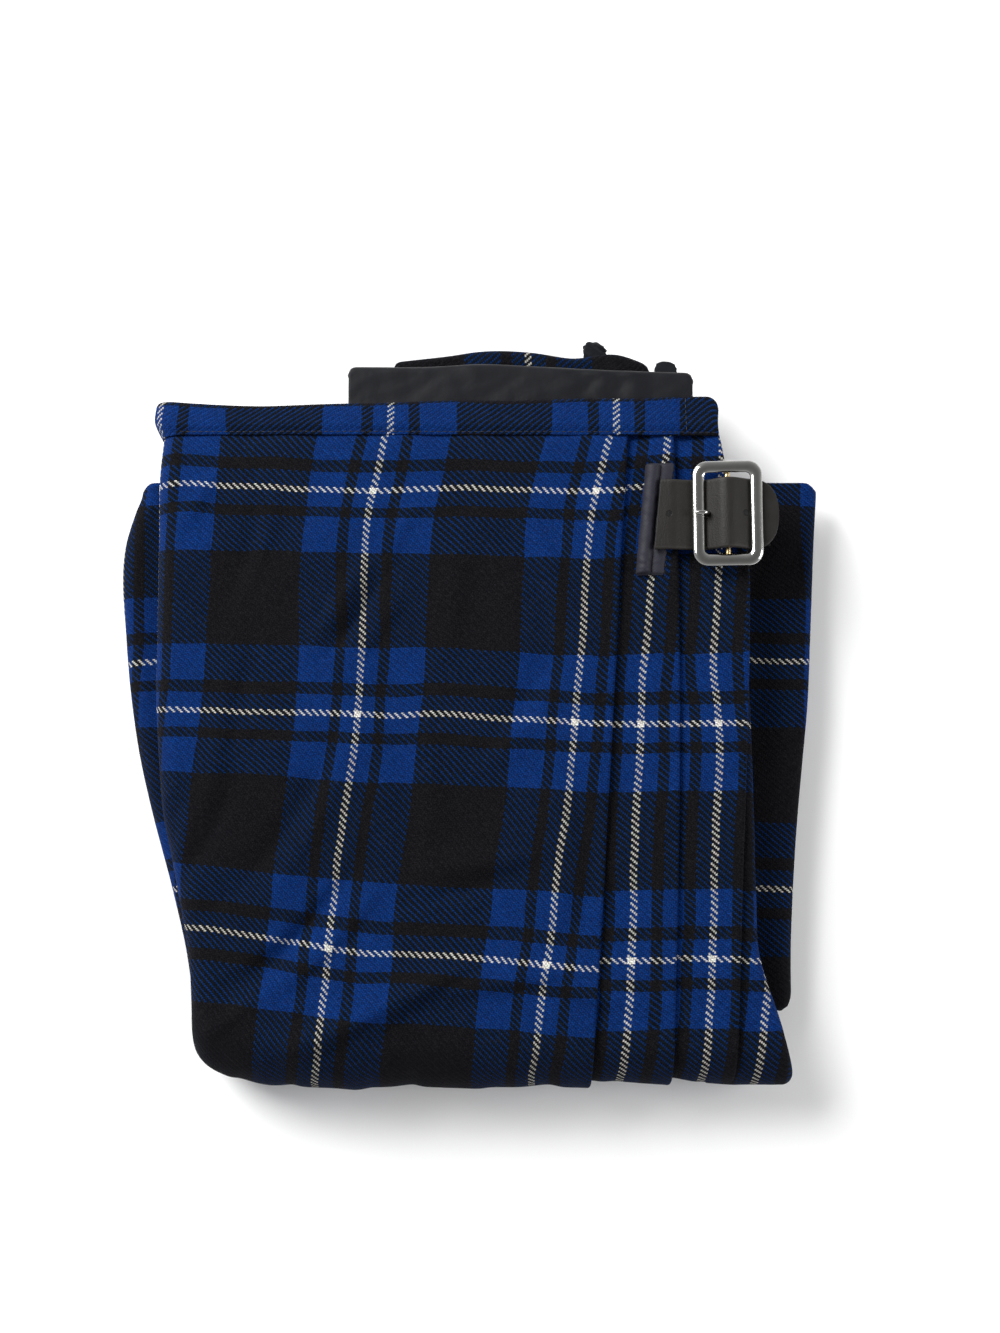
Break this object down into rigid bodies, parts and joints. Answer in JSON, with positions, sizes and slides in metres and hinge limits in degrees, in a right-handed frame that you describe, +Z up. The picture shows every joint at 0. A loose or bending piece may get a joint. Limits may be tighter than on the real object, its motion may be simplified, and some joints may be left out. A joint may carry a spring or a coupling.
{
  "type": "kilt",
  "caption": "Tartan kilt, buckled, laid flat and folded in four into a low stack, with waistband, lining, pleats at one side, and a leather strap through a bright buckle.",
  "frame": {"origin": "middle of the underside of the stack", "axes": "X runs across the stack, left to right as the front is seen, +Y runs up the top face toward the waist, and +Z is up off the surface it rests on"},
  "size_m": [0.3366, 0.3597, 0.0538],
  "materials": {
    "tartan": "brushed wool-like twill, dark blue and black checks with fine white lines, matt with a soft nap",
    "lining": "plain dark lining cloth, slightly shiny",
    "leather": "smooth near-black leather",
    "nickel": "polished bright nickel plate"
  },
  "bodies": {
    "root": {"folded_layers": "tartan", "over_apron": "tartan", "pleat_1": "tartan", "pleat_2": "tartan", "pleat_3": "tartan", "waistband_front": "tartan", "waistband_back": "tartan", "lining_strip": "lining", "hem_left": "tartan", "hem_right": "tartan", "belt_loop_1": "lining", "belt_loop_2": "lining", "slit_welt_left": "lining", "slit_welt_right": "lining", "strap": "leather", "buckle_tab": "leather", "buckle_frame": "nickel", "buckle_prong": "nickel"}
  },
  "joints": []
}
